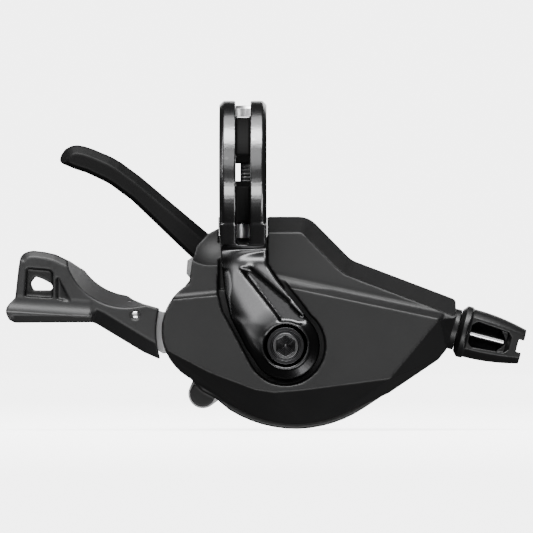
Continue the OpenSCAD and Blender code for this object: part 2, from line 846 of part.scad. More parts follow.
module base_plate() {
    color(steel)
        difference() {
            slab(base_plate_y, nut_y)
                union() {
                    offset(delta = -wall - 0.2)
                        polygon(cap_outline());
                    hull() {
                        translate(lug)
                            circle(lug_r);
                        translate(axle)
                            circle(7.5);
                    }
                }
            rod(axle, axle_r + fit, -far, far);
            rod(position_pivot, pawl_pin_r + fit, -far, far);
            for (p = [0:2])
                rod(pillars[p], screw_r + 0.15, -far, far);
        }
}

module main_axle() {
    color(steel)
        rod(axle, axle_r, floor_y - 0.5, nut_y + nut_t);
}

module axle_nut() {
    color(steel)
        difference() {
            hex_rod(axle, nut_af, nut_y, nut_y + nut_t - 0.1);
            rod(axle, axle_r + fit, -far, far);
        }
}

module spacer_pillars() {
    color(steel)
        for (p = pillars)
            tube(p, pillar_r, screw_r + fit, front_plate_y, base_plate_y);
}

module cap_screws() {
    color(steel)
        for (p = [0:2]) {
            rod(pillars[p], screw_r, base_plate_y - 4, cap_back_y - 0.8);
            rod(pillars[p], screw_r + 0.8, cap_back_y - 1, cap_back_y - 0.1);
        }
}

// Drum and ratchets

flange_r = groove_r + 1.4;

module cable_drum() {
    bore = drum_bush_r + fit;
    groove = drum_w / 2 - 0.4;
    color(grey_plastic)
        difference() {
            union() {
                rod(axle, hub_r, index_y, main_y - 0.4);
                translate([axle[0], drum_y, axle[1]])
                    rotate([-90, 0, 0])
                        rotate_extrude()
                            polygon([[4, 0], [flange_r, 0], [groove_r, groove], [groove_r, drum_w - groove],
                                     [flange_r, drum_w], [4, drum_w]]);
            }
            rod(axle, bore, -far, far);
            // The spring's room, open towards the drive ratchet
            tube(axle, groove_r - 1.4, hub_r + 0.2, drum_y + 0.8, drum_y + drum_w + 0.05);
            // The cable nipple's pocket
            rod(axle + polar(groove_r - 1, 200), 1.7, drum_y + 0.5, far);
        }
}

drum_bush_r = 4;

module drum_bushing() {
    color("tan")
        tube(axle, drum_bush_r, axle_r + fit, index_y - 0.2, main_y - 0.2);
}

pitch = 360 / teeth;

module ratchet(tip_r, phase, lean, y0) {
    root_r = tip_r - tooth_h;
    color(steel)
        difference() {
            translate([axle[0], 0, axle[1]])
                slab(y0, y0 + ratchet_t)
                    polygon([for (i = [0:teeth - 1])
                                 for (k = [[root_r, -0.2], [root_r, 0.14], [tip_r, lean > 0 ? 0.44 : 0.3],
                                           [tip_r, lean > 0 ? 0.58 : 0.44]])
                                     polar(k[0], phase + (i + k[1]) * pitch)]);
            rod(axle, hub_r + fit, -far, far);
        }
}

module index_ratchet() {
    ratchet(index_tip_r, index_angle + 0.03 * pitch, 1, index_y);
}

module drive_ratchet() {
    ratchet(drive_tip_r, drive_angle + 0.03 * pitch, -1, drive_y);
}

module drum_spring() {
    color(steel)
        spiral(axle, hub_r + 0.4, groove_r - 2.1, 2.5, 0.35, drum_y + 1, drum_y + drum_w - 0.1);
}

// Pawls. A pawl's nose points at the axle, and its pivot lies to the right of the nose.

rest_clear = 0.35;
pawl_drop = 0.9;

function pawl_nose(tip_r, a) = axle + polar(tip_r + rest_clear, a);
function pawl_pivot(tip_r, a, len) =
    axle + polar(tip_r + rest_clear + pawl_drop, a) + len * [sin(a), -cos(a)];

index_angle = 18;
drive_angle = 150;
position_pivot = pawl_pivot(index_tip_r, index_angle, position_pawl_l);
drive_pivot = pawl_pivot(drive_tip_r, drive_angle, drive_pawl_l);

module pawl(tip_r, a, len, y0) {
    n = tip_r + rest_clear;
    color(steel)
        difference() {
            union() {
                translate([axle[0], 0, axle[1]])
                    rotate([0, -a, 0])
                        slab(y0, y0 + ratchet_t - 0.1)
                            polygon([[n, 0.4], [n + 2.1, 1], [n + pawl_drop + pawl_r, -len],
                                     [n + pawl_drop - pawl_r + 0.3, -len], [n + 1.1, -1.1], [n, -0.4]]);
                rod(pawl_pivot(tip_r, a, len), pawl_r, y0, y0 + ratchet_t - 0.1);
            }
            rod(pawl_pivot(tip_r, a, len), pawl_pin_r + fit, -far, far);
        }
}

module drive_pawl() {
    pawl(drive_tip_r, drive_angle, drive_pawl_l, drive_y + 0.05);
}

module drive_pawl_pin() {
    color(steel)
        rod(drive_pivot, pawl_pin_r, drive_y, main_y + main_core_t);
}

module drive_pawl_spring() {
    color(steel)
        tube(drive_pivot, pawl_r - 0.1, pawl_pin_r + 0.1, drive_y + ratchet_t + 0.05, main_y - 0.05);
}

module position_pawl() {
    pawl(index_tip_r, index_angle, position_pawl_l, index_y + 0.05);
}

module position_pawl_pin() {
    color(steel)
        rod(position_pivot, pawl_pin_r, floor_y, nut_y);
}

module position_pawl_spring() {
    color(steel)
        spiral(position_pivot, pawl_pin_r + 0.15, pawl_pin_r + 1.1, 2.5, 0.2, index_y + ratchet_t + 0.1,
               index_y + ratchet_t + 1.4);
}

// Main lever

// Direction of the lever's core from the axle, and the slot's spare angle on both sides of it
main_angle = 121;
slot_spare = 24;
pad_start_r = 18.3;
pad_front_y = main_y - 0.3;

// The long pad's upper edge from its tip, and its lower edge back to the tip
function main_pad_top() = [
    [-39.1, 2.4], [-38.8, 3.6], [-37.9, 4.9], [-36.6, 5.6], [-35.3, 5.8], [-33.7, 5.5], [-31.9, 4.9],
    [-28.1, 3.3], [-26, 2.1], [-21.8, -1], [-15.4, -6.4], [-7.4, -13.1]];
function main_pad_low() = [
    [-10.8, -18.3], [-14, -15.3], [-19.2, -10.3], [-23.7, -6], [-28.3, -2.6], [-29.8, -1.8],
    [-33.4, -0.1], [-35.9, 0.7], [-38.5, 1.8]];

// The steel core seen from the front, with its hub left out
module main_core_outline() {
    dir = polar(1, main_angle);
    across = polar(main_core_w / 2, main_angle - 90);
    polygon([axle - across * 1.5, axle + across * 1.5, axle + dir * 15 + across, [-8.1, -14.6],
             [-16.2, -7.9], [-21.9, -3.2], [-28.6, 1.5], [-32.5, 3.3], [-33.3, 1.7], [-29.4, -0.4],
             [-23.4, -4.8], [-18, -9.9], [-10.4, -17.1], axle + dir * 15 - across]);
}

module main_lever_plate() {
    back_y = main_y + main_core_t;
    color(steel)
        difference() {
            union() {
                rod(axle, 7.5, main_y, back_y);
                slab(main_y, back_y)
                    main_core_outline();
                // The stop that shows beside the cover
                slab(main_y, back_y)
                    polygon([axle + [-3, 13], axle + [-12.9, 15.9], axle + [-13.9, 15.2],
                             axle + [-14.1, 12.4], axle + [-13.3, 11.4], axle + [-5, 6]]);
            }
            rod(axle, axle_r + fit, -far, far);
            rod(drive_pivot, pawl_pin_r + fit, -far, far);
            for (p = rivets)
                rod(p, rivet_r + fit, -far, far);
        }
}

rivet_r = 0.9;
rivets = [[-17.8, -8.1], [-27.2, -0.3]];

module main_lever_pad() {
    color(grey_plastic)
        difference() {
            slab(pad_front_y, pad_front_y + main_pad_t)
                polygon(concat(main_pad_top(), [[-3, -14], [-3, -24]], main_pad_low()));
            rod(axle, pad_start_r, -far, far);
            bevel_run(main_pad_top(), main_bevel, pad_front_y, pad_front_y + main_bevel, 0.2);
            bevel_run(main_pad_low(), main_low_bevel, pad_front_y, pad_front_y + main_low_bevel, 0.2);
            slab(main_y - fit, main_y + main_core_t + fit)
                offset(delta = fit)
                    main_core_outline();
            for (p = rivets)
                rod(p, rivet_r + fit, main_y, far);
        }
}

module pad_rivets() {
    color(steel)
        for (p = rivets)
            rod(p, rivet_r, main_y, pad_front_y + main_pad_t);
}

module main_lever_spring() {
    color(steel)
        spiral(axle, axle_r + 0.3, axle_r + 3.2, 3, 0.4, main_spring_y, main_spring_y + main_spring_t);
}

// Release lever

release_back_y = release_y + release_core_t + release_back;
release_front_y = release_y - release_front;
release_end_r = 20.35;
cove_slope = 4;
// Angle from the lever's middle to either end of its slot at rest
slot_half = 18;

// The pad's upper edge from its left end, and the rest of its outline
function release_pad_top() = [
    [-47.1, -18.1], [-46.4, -17.3], [-45.5, -16.9], [-44.4, -16.7], [-41.9, -17], [-39.7, -17.5],
    [-36.6, -19]];
function release_pad_low() = [
    [-18.2, -39.5], [-21.1, -38.2], [-26.6, -34.9], [-30.9, -32.3]];
function release_flange() = [
    [-31.9, -31.9], [-48.2, -32], [-49.4, -31.4], [-50.1, -30], [-50.1, -28.9], [-49.5, -28], [-48.2, -26.7]];
function release_pad_outline() = concat(
    release_pad_top(),
    [[-34.5, -20.4], [-30.7, -22.2], [-26, -25.2], [-23.3, -27.1], [-21.1, -28], [-14, -30], [-14, -41]],
    release_pad_low(), release_flange(), [[-47.5, -20.4]]);

module release_core_outline() {
    across = [0, release_core_w / 2];
    polygon([axle + across, axle - across, [-17, axle[1] - release_core_w / 2 - 0.2],
             [-24, -34.6], [-34, -30.6], [-34, -28.8], [-24, -27.4], [-17, axle[1] + release_core_w / 2]]);
}

module release_lever_plate() {
    color(steel)
        difference() {
            union() {
                rod(axle, 7, release_y, release_y + release_core_t);
                slab(release_y, release_y + release_core_t)
                    release_core_outline();
                // The nose beside the position pawl
                slab(release_y, release_y + release_core_t)
                    polygon([axle + [0, 6.5], axle + [11, 7], axle + [14.5, 4.5], axle + [13, 0],
                             axle + [0, -3]]);
            }
            rod(axle, axle_r + fit, -far, far);
        }
}

module release_lever_pad() {
    face_y = release_front_y + flange_step;
    color(grey_plastic)
        difference() {
            union() {
                slab(face_y, release_back_y)
                    polygon(release_pad_outline());
                // The finger flange along the lower edge
                slab(release_front_y, release_back_y)
                    polygon(concat([[-35.5, -27.9], [-32.6, -29], [-31.7, -30.4]], release_flange()));
            }
            rod(axle, release_end_r, -far, far);
            // The recess and the window through it
            slab(-far, face_y + recess_depth)
                polygon([[-46.2, -26.4], [-45.7, -20.4], [-40.8, -20.8], [-40.2, -21.5], [-40.2, -26.8]]);
            slab(-far, far)
                polygon([[-44.4, -25.1], [-45, -23.6], [-44, -22.2], [-42.5, -22.7], [-40.8, -23.6],
                         [-40.2, -24.4], [-40.6, -25.1]]);
            // The facet to the right of the rib
            translate([-39.1, face_y + 1.25, -24])
                rotate([0, 0, -20])
                    slab(-far, 0)
                        polygon([[0, -2.9], [0, 2.2], [2.9, -3.5]]);
            bevel_run(release_pad_top(), release_bevel, face_y, face_y + release_bevel, 0.2);
            bevel_run(concat([[-15, -41.1]], release_pad_low(), [[-32, -31.8]]), release_low_bevel, face_y,
                      face_y + 1.1 * release_low_bevel, 0.2);
            bevel_run([[-31, -32.1], [-48.6, -32.1]], flange_bevel, release_front_y,
                      release_front_y + 0.7 * flange_bevel, 0.2);
            // The finger scoop in the top
            translate([-24, face_y, -14.7])
                rotate([0, -56, 0])
                    rotate([0, 0, -finger_lean])
                        rotate([90, 0, 0])
                            cylinder(r = finger_r, h = far, center = true);
            // The cove above the flange
            translate([-51, face_y - cove_r + 0.15, -26.7])
                rotate([0, 90 + cove_slope, 0])
                    cylinder(r = cove_r, h = 19);
            slab(release_y - fit, release_y + release_core_t + fit)
                offset(delta = fit)
                    release_core_outline();
            rod([-22.8, -30.3], peep_r, -far, release_y);
        }
}

module release_spring() {
    color(steel)
        spiral(axle, axle_r + 0.3, axle_r + 2.4, 2.5, 0.35, release_spring_y,
               release_spring_y + release_spring_t);
}

// Cable adjuster

knob_s0 = 0.3;
spigot_r = 2.6;
cone_r = 4.5;
cone_l = 0.9;
knob_hollow_s = 10.2;
hollow_cone_l = 1.6;
guide_travel = 1;
window_s0 = 2.9;
window_s1 = 11.7;
window_corner = 0.9;
window_lean = 0.9;

function knob_outer(s) =
    knob_r - (knob_r - knob_end_r) * pow((s - knob_flange_t) / (knob_l - knob_flange_t), 2);

// Radii along the adjuster, as pairs of radius and place
function knob_side(share, s0, s1) = [
    for (i = [0:knob_steps]) let (s = s0 + (s1 - s0) * i / knob_steps) [knob_outer(s) * share, s]];

knob_steps = 10;

module adjuster_neck() {
    color(black_plastic)
        on_cable(0)
            difference() {
                union() {
                    translate([0, 0, -neck_in])
                        cylinder(r = neck_r, h = neck_in + knob_s0 - 0.1);
                    cylinder(r = spigot_r, h = knob_s0 + knob_flange_t - 0.1);
                }
                translate([0, 0, -far])
                    cylinder(r = tube_r + fit, h = 2 * far);
                translate([0, 0, -0.6])
                    difference() {
                        cylinder(r = neck_r - 0.4, h = past);
                        translate([0, 0, -past])
                            cylinder(r = spigot_r, h = 3 * past);
                    }
            }
}

module detent_ring() {
    color(steel)
        on_cable(-0.6)
            difference() {
                cylinder(r = neck_r - 0.5, h = 0.6);
                translate([0, 0, -past])
                    cylinder(r = spigot_r + 0.1, h = 3 * past);
            }
}

// The side window seen from the front, from its inner end at 0 outwards
module knob_window() {
    half = knob_window_w / 2;
    half_end = knob_window_end_w / 2;
    l = window_s1 - window_s0;
    c = window_corner;
    polygon([[c - half, 0], [half - c, 0], [half, c], [half_end + 0.1, l - c], [half_end - c, l],
             [c - half_end, l], [-half_end - 0.1, l - c], [-half, c]]);
}

// What the window may take away, seen from the side. Its outer end leans outwards.
module window_depth() {
    inner = -tube_r - 0.4;
    outer = -knob_flange_r;
    l = window_s1 - window_s0;
    rotate([90, 0, 90])
        linear_extrude(knob_window_w + past, center = true)
            polygon([[inner, -past], [inner, l - window_lean], [outer, l + window_lean], [outer, -past]]);
}

// The two flats that run along the adjuster, in front and behind
module knob_flats() {
    sides = knob_side(knob_flat, knob_flange_t, knob_l);
    rotate([90, 0, 90])
        linear_extrude(2 * knob_flange_r, center = true)
            polygon(concat([[-knob_flange_r, -past], [-knob_flange_r, knob_flange_t - 0.6]],
                           [for (p = sides) [-p[0], p[1]]], [[-knob_end_r / 2, knob_l + past]],
                           [[knob_end_r / 2, knob_l + past]], [for (i = [knob_steps:-1:0]) sides[i]],
                           [[knob_flange_r, knob_flange_t - 0.6], [knob_flange_r, -past]]));
}

module adjuster_knob() {
    color(black_plastic)
        on_cable(knob_s0)
            difference() {
                intersection() {
                    rotate_extrude()
                        polygon(concat([[0, 0], [cone_r, 0], [knob_flange_r, cone_l],
                                        [knob_flange_r, knob_flange_t - 0.3]],
                                       knob_side(1, knob_flange_t, knob_l), [[0, knob_l]]));
                    knob_flats();
                }
                rotate_extrude()
                    polygon(concat([[0, knob_flange_t]],
                                   knob_side(knob_hollow, knob_flange_t, knob_hollow_s - hollow_cone_l),
                                   [[tube_r + 0.4, knob_hollow_s], [0, knob_hollow_s]]));
                translate([0, 0, -past])
                    cylinder(r = spigot_r + fit, h = knob_flange_t + 2 * past);
                cylinder(r = tube_r + fit, h = far);
                translate([0, 0, knob_l - casing_depth])
                    cylinder(r = casing_r, h = far);
                // The window in front
                translate([0, 0, window_s0 - knob_s0])
                    intersection() {
                        rotate([90, 0, 0])
                            linear_extrude(far)
                                knob_window();
                        window_depth();
                    }
                // The notch across the end
                translate([-notch_w / 2, -far, knob_l - notch_depth])
                    cube([notch_w, 2 * far, far]);
            }
}

module guide_tube() {
    color(steel)
        on_cable(-neck_in)
            difference() {
                cylinder(r = tube_r, h = neck_in + knob_s0 + knob_l - casing_depth - guide_travel - 0.15);
                translate([0, 0, -past])
                    cylinder(r = cable_way_r, h = far);
            }
}

clamp_band();
clamp_bolt();
mounting_bolt();
front_cover();
base_cap();
front_plate();
base_plate();
main_axle();
axle_nut();
spacer_pillars();
cap_screws();
cable_drum();
drum_bushing();
index_ratchet();
drive_ratchet();
drum_spring();
main_lever_plate();
main_lever_pad();
pad_rivets();
main_lever_spring();
release_lever_plate();
release_lever_pad();
release_spring();
drive_pawl();
drive_pawl_pin();
drive_pawl_spring();
position_pawl();
position_pawl_pin();
position_pawl_spring();
adjuster_neck();
adjuster_knob();
guide_tube();
detent_ring();
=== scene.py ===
"""Trigger gear shifter for a straight handlebar: finishes, softened edges, studio and camera."""

import json
import math

import bmesh
import bpy
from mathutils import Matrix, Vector
from mathutils.bvhtree import BVHTree


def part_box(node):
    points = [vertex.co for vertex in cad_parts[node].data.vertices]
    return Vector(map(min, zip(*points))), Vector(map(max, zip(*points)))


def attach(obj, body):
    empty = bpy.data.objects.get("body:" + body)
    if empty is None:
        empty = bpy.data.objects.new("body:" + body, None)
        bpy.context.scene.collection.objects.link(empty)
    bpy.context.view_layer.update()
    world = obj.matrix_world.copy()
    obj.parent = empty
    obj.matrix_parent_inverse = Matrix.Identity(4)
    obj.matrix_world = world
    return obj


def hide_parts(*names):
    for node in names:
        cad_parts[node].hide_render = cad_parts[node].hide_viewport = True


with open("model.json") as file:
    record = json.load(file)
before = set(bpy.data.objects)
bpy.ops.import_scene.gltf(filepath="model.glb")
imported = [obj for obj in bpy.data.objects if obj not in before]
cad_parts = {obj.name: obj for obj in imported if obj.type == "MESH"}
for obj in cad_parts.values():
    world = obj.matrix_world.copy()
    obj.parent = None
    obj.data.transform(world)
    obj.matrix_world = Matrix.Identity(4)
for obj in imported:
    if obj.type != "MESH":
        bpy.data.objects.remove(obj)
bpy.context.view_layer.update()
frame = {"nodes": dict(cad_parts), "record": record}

MM = 0.001
nodes = frame["nodes"]


# Places that finishes and edges share, in millimetres as the CAD has them

boss_x, boss_z = 9.0, -36.8
arm_front_y, arm_bend_z = -7.0, -32.2
arm_lean, arm_lean_run = 0.21, 12.0
hexagon_corner = 2.309


# Shader maths

class Port:
    """A node's output, with Python's operators standing for Math nodes."""

    def __init__(self, finish, socket):
        self.finish, self.socket = finish, socket

    def math(self, operation, *others):
        return self.finish.node("ShaderNodeMath", {"operation": operation}, self, *others)

    def __add__(self, other):
        return self.math("ADD", other)

    __radd__ = __add__

    def __sub__(self, other):
        return self.math("SUBTRACT", other)

    def __rsub__(self, other):
        return self.finish.node("ShaderNodeMath", {"operation": "SUBTRACT"}, other, self)

    def __mul__(self, other):
        return self.math("MULTIPLY", other)

    __rmul__ = __mul__

    def __truediv__(self, other):
        return self.math("DIVIDE", other)

    def power(self, exponent):
        return self.math("POWER", exponent)

    def clamp(self):
        return self.finish.node("ShaderNodeClamp", {}, self)

    def ramp(self, start, end):
        """0 at start, 1 at end, and level beyond both."""
        return self.finish.node("ShaderNodeMapRange", {"clamp": True}, self, start, end, 0.0, 1.0)


class Finish:
    """A material under construction."""

    def __init__(self, name):
        self.material = bpy.data.materials.new(name)
        self.material.use_nodes = True
        self.tree = self.material.node_tree
        self.shader = self.tree.nodes["Principled BSDF"]
        self.place = self.node("ShaderNodeTexCoord", {}, out="Object")

    def node(self, kind, settings, *inputs, out=0, **named):
        """A new node with its inputs in order or by name, and the Port of its output."""
        made = self.tree.nodes.new(kind)
        for key, value in settings.items():
            setattr(made, key, value)
        for socket, value in zip(made.inputs, inputs):
            self.put(socket, value)
        for key, value in named.items():
            self.put(made.inputs[key], value)
        return Port(self, made.outputs[out])

    def axes(self):
        """Place in millimetres along X, Y and Z."""
        parts = self.node("ShaderNodeSeparateXYZ", {}, self.place)
        return [Port(self, parts.socket.node.outputs[axis]) / MM for axis in "XYZ"]

    def put(self, socket, value):
        if isinstance(value, Port):
            self.tree.links.new(value.socket, socket)
        else:
            socket.default_value = value

    def noise(self, scale, detail=4.0, roughness=0.55, stretch=None):
        """Noise between 0 and 1, scale in cells a metre."""
        at = self.place
        if stretch:
            at = self.node("ShaderNodeMapping", {}, at, Scale=stretch)
        return self.node("ShaderNodeTexNoise", {"noise_dimensions": "3D"}, Vector=at, Scale=scale,
                         Detail=detail, Roughness=roughness)

    def mix(self, share, dark, light):
        """A colour between dark and light."""
        made = self.tree.nodes.new("ShaderNodeMix")
        made.data_type = "RGBA"
        for index, value in ((0, share), (6, dark), (7, light)):
            self.put(made.inputs[index], value if isinstance(value, (Port, float)) else (*value, 1.0))
        return Port(self, made.outputs[2])

    def wear(self, start, end):
        """0 on flat ground, 1 on outward edges."""
        return self.node("ShaderNodeNewGeometry", {}, out="Pointiness").ramp(start, end)

    def bump(self, height, distance):
        relief = self.node("ShaderNodeBump", {}, Strength=1.0, Distance=distance, Height=height)
        self.put(self.shader.inputs["Normal"], relief)

    def surface(self, colour, roughness, metallic=0.0, **constants):
        self.put(self.shader.inputs["Base Color"], colour)
        self.put(self.shader.inputs["Roughness"], roughness)
        self.put(self.shader.inputs["Metallic"], metallic)
        for key, value in constants.items():
            self.shader.inputs[key.replace("_", " ")].default_value = value
        return self.material


# Finishes

def moulded(name, dark, light, rough, sheen=0.3):
    """Injection-moulded plastic with a fine spark-eroded grain."""
    finish = Finish(name)
    cloud = finish.noise(90.0, 3.0)
    fine = finish.noise(5200.0, 5.0, 0.6)
    edge = finish.wear(0.52, 0.62)
    shade = (cloud * 0.6 + fine * 0.4 + edge * 0.35).clamp()
    finish.bump(fine, 0.012 * MM)
    return finish.surface(finish.mix(shade, dark, light), rough + 0.12 * cloud - 0.08 * edge,
                          Specular_IOR_Level=sheen)


def band_finish(name):
    """The band is polished and nearly black; its channel is painted black and non-metallic, and the arm's sunk
    bevel, scoop and the ring round the bolt are painted darker, all as painted shade; the arm's front below it
    is blasted grey, giving way to the polished skin near the boss as painted shade.
    """
    # Where each mask starts and ends: radii, squared widths, depths and heights in millimetres
    shaded_channel_radius, shaded_channel_width_squared = (13.9, 13.6), (3.2, 2.4)
    sunk_depth = (0.15, 0.9)
    arm_height, bevel_height = (-15.5, -25.0), (-14.0, -17.0)
    boss_shade_fade, boss_top, bolt_seat = (5.0, 9.0), (9.0, 6.0), (3.8, 4.2)
    black, grey, lit = (0.012, 0.012, 0.012), (0.11, 0.11, 0.112), (0.19, 0.19, 0.192)

    finish = Finish(name)
    x, y, z = finish.axes()
    cloud = finish.noise(60.0, 3.0)
    fine = finish.noise(2600.0, 3.0)
    edge = finish.wear(0.52, 0.6)
    # The channel between the rails is painted black and non-metallic: painted shade in the groove.
    shaded_channel = (y * y + z * z).power(0.5).ramp(*shaded_channel_radius) * (x * x).ramp(*shaded_channel_width_squared)
    lean = arm_lean * (z - arm_bend_z).math("MAXIMUM", 0.0).math("MINIMUM", arm_lean_run)
    sunk = (y - (lean + arm_front_y)).ramp(*sunk_depth)
    boss = ((x - boss_x) * (x - boss_x) + (z - boss_z) * (z - boss_z)).power(0.5)
    # Near the boss the blasted grey gives way to the polished skin, darkening the arm there: painted shade.
    arm = z.ramp(*arm_height) * (1 - sunk) * boss.ramp(*boss_shade_fade) * (1 - shaded_channel)
    # The arm's sunk bevel and scoop, and the ring round the bolt, are painted darker: painted shade.
    bevel = z.ramp(*bevel_height) * sunk.math("MAXIMUM", boss.ramp(*boss_top)) * boss.ramp(*bolt_seat)
    skin = finish.mix((cloud * 0.5 + edge * 0.5).clamp(), grey, lit)
    blasted = finish.mix((cloud * 0.4 + fine * 0.6).clamp(), grey, (0.17, 0.17, 0.173))
    # The dark colour of the painted shade on the arm's sunk faces.
    sunk_shade_colour = finish.mix(fine, (0.035, 0.035, 0.036), (0.06, 0.06, 0.061))
    finish.bump(fine, 0.005 * MM)
    colour = finish.mix(shaded_channel, finish.mix(bevel, finish.mix(arm, skin, blasted), sunk_shade_colour), black)
    return finish.surface(colour, 0.2 + 0.1 * cloud + 0.16 * arm + 0.3 * shaded_channel, 1 - shaded_channel,
                          Specular_IOR_Level=0.05)


def boss_finish(name):
    """A blackened bolt whose hexagon is worn bright."""
    worn_radius, mark_rate = (2.75, 2.5), 22.0
    finish = Finish(name)
    x, _, z = finish.axes()
    reach = ((x - boss_x) * (x - boss_x) + (z - boss_z) * (z - boss_z)).power(0.5)
    marks = (reach * mark_rate).math("SINE") * 0.5 + 0.5
    cloud = finish.noise(300.0, 3.0)
    finish.bump(marks, 0.003 * MM)
    colour = finish.mix(reach.ramp(*worn_radius), (0.05, 0.05, 0.052), (0.15, 0.15, 0.153))
    return finish.surface(colour, 0.2 + 0.12 * cloud + 0.04 * marks, 1.0)


def clamp_finish(name):
    """A plated bolt, bright at both ends, with its threaded shank between them painted dark as painted shade.
    """
    thread_and_shade_height_squared, rib_rate = (45.0, 38.0), 8.4
    finish = Finish(name)
    _, _, z = finish.axes()
    # The shank inside the band is painted dark, ribbed along the thread: painted shade.
    thread_and_shade = (z * z).ramp(*thread_and_shade_height_squared)
    ribs = (z * rib_rate).math("SINE") * 0.5 + 0.5
    cloud = finish.noise(200.0, 3.0)
    finish.bump(ribs * thread_and_shade, 0.12 * MM)
    shade = (thread_and_shade * (0.75 + 0.25 * ribs)).clamp()
    return finish.surface(finish.mix(shade, (0.8, 0.8, 0.81), (0.07, 0.07, 0.072)),
                          0.3 + 0.1 * cloud + 0.06 * thread_and_shade, 1.0)


def turned(name, dark, light, rough, stretch=(1.0, 1.0, 1.0)):
    """Bare steel with fine tool marks."""
    finish = Finish(name)
    cloud = finish.noise(140.0, 3.0)
    marks = finish.noise(2400.0, 3.0, 0.5, stretch)
    finish.bump(marks, 0.004 * MM)
    return finish.surface(finish.mix(cloud * 0.6 + marks * 0.4, dark, light), rough + 0.14 * marks, 1.0)


finishes = {
    "cover_plastic": moulded("cover_plastic", (0.013, 0.013, 0.0135), (0.023, 0.023, 0.0235), 0.4),
    "cap_plastic": moulded("cap_plastic", (0.006, 0.006, 0.007), (0.011, 0.011, 0.011), 0.36),
    "lever_plastic": moulded("lever_plastic", (0.017, 0.017, 0.018), (0.03, 0.03, 0.031), 0.42, 0.4),
    "thumb_plastic": moulded("thumb_plastic", (0.0045, 0.0045, 0.0048), (0.009, 0.009, 0.0093), 0.42, 0.14),
    "adjuster_plastic": moulded("adjuster_plastic", (0.008, 0.008, 0.009), (0.015, 0.015, 0.015), 0.34, 0.4),
    "drum_plastic": moulded("drum_plastic", (0.10, 0.10, 0.105), (0.14, 0.14, 0.14), 0.45),
    "bush_plastic": moulded("bush_plastic", (0.42, 0.34, 0.2), (0.5, 0.42, 0.27), 0.5),
    "band_alloy": band_finish("band_alloy"),
    "black_steel": boss_finish("black_steel"),
    "clamp_steel": clamp_finish("clamp_steel"),
    "bolt_steel": turned("bolt_steel", (0.16, 0.16, 0.165), (0.26, 0.26, 0.265), 0.26),
    "steel": turned("steel", (0.42, 0.42, 0.43), (0.58, 0.58, 0.58), 0.3, (1.0, 1.0, 5.0)),
    "spring_steel": turned("spring_steel", (0.3, 0.3, 0.31), (0.46, 0.46, 0.46), 0.3),
    "bright_steel": turned("bright_steel", (0.7, 0.7, 0.71), (0.84, 0.84, 0.85), 0.16),
}

slots = {s["node"]: s["material_slot"] for s in frame["record"]["subparts"]}
rides = {node: body for body, members in frame["record"]["behaviour"]["bodies"].items() for node in members}

for name, piece in nodes.items():
    for index in range(len(piece.data.materials)):
        piece.data.materials[index] = finishes[slots[name]]


# Softened edges

def only(piece):
    bpy.ops.object.select_all(action="DESELECT")
    bpy.context.view_layer.objects.active = piece
    piece.select_set(True)


def copy_of(name):
    """A merged copy of a CAD node's mesh, riding and finished as the node is, and shown instead of it."""
    piece = bpy.data.objects.new("soft_" + name, nodes[name].data.copy())
    bpy.context.scene.collection.objects.link(piece)
    only(piece)
    bpy.ops.mesh.customdata_custom_splitnormals_clear()
    bpy.ops.object.mode_set(mode="EDIT")
    bpy.ops.mesh.select_all(action="SELECT")
    bpy.ops.mesh.remove_doubles(threshold=0.001 * MM)
    bpy.ops.object.mode_set(mode="OBJECT")
    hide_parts(name)
    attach(piece, rides[name])
    return piece


def apply(piece, kind, **settings):
    """A modifier put on the active piece and applied at once."""
    made = piece.modifiers.new(kind, kind)
    for key, value in settings.items():
        setattr(made, key, value)
    bpy.ops.object.modifier_apply(modifier=made.name)


# Within the first gap, in millimetres, a point goes back onto the true surface, beyond the second it stays
flat_near, flat_far = 0.012, 0.035


def moulded_edges(name, cell, passes, keep=1.0):
    """Edges and inner corners rounded as a mould or a casting has them, with the faces between left true."""
    piece = copy_of(name)
    true = BVHTree.FromPolygons([v.co for v in piece.data.vertices], [p.vertices for p in piece.data.polygons])
    apply(piece, "REMESH", mode="VOXEL", voxel_size=cell * MM)
    apply(piece, "SMOOTH", factor=0.5, iterations=passes)
    for vertex in piece.data.vertices:
        place, _, _, gap = true.find_nearest(vertex.co)
        share = min(1.0, max(0.0, (flat_far * MM - gap) / ((flat_far - flat_near) * MM)))
        vertex.co = vertex.co.lerp(place, share)
    if keep < 1.0:
        apply(piece, "DECIMATE", ratio=keep)
    bpy.ops.object.shade_smooth()
    return piece


def crease_arm(piece):
    """The arm's front falls back to the left of a crease, as a long bevel."""
    crease = ((-16.0, -0.6), (-18.5, -1.1), (-24.0, -2.1), (-29.3, 0.6), (-34.6, 4.0), (-40.0, 6.0))
    top, bottom, back = -15.0, -35.5, -1.5
    top_fade, bottom_fade, slope = 4.0, 5.0, 0.4
    for vertex in piece.data.vertices:
        at = vertex.co / MM
        if at.y < back and bottom < at.z < top:
            for (high, x_high), (low, x_low) in zip(crease, crease[1:]):
                if low <= at.z <= high:
                    turn = x_high + (x_low - x_high) * (high - at.z) / (high - low)
                    front = arm_lean * min(arm_lean_run, max(0.0, at.z - arm_bend_z)) + arm_front_y
                    fade = min(1.0, (top - at.z) / top_fade, (at.z - bottom) / bottom_fade)
                    vertex.co.y = max(at.y, min(front + slope * fade * (turn - at.x), back)) * MM


def smooth_arm(piece):
    """The front of the arm runs into the band and the boss in long soft curves."""
    top, bottom, back = -8.5, -40.0, 3.0
    top_fade, bottom_fade = 6.0, 4.0
    flow = piece.vertex_groups.new(name="arm")
    for vertex in piece.data.vertices:
        at = vertex.co / MM
        if at.y < back:
            share = max(0.0, min(1.0, (top - at.z) / top_fade, (at.z - bottom) / bottom_fade))
            flow.add([vertex.index], share, "REPLACE")
    apply(piece, "SMOOTH", factor=0.5, iterations=60, vertex_group="arm")
    apply(piece, "DECIMATE", ratio=0.6)


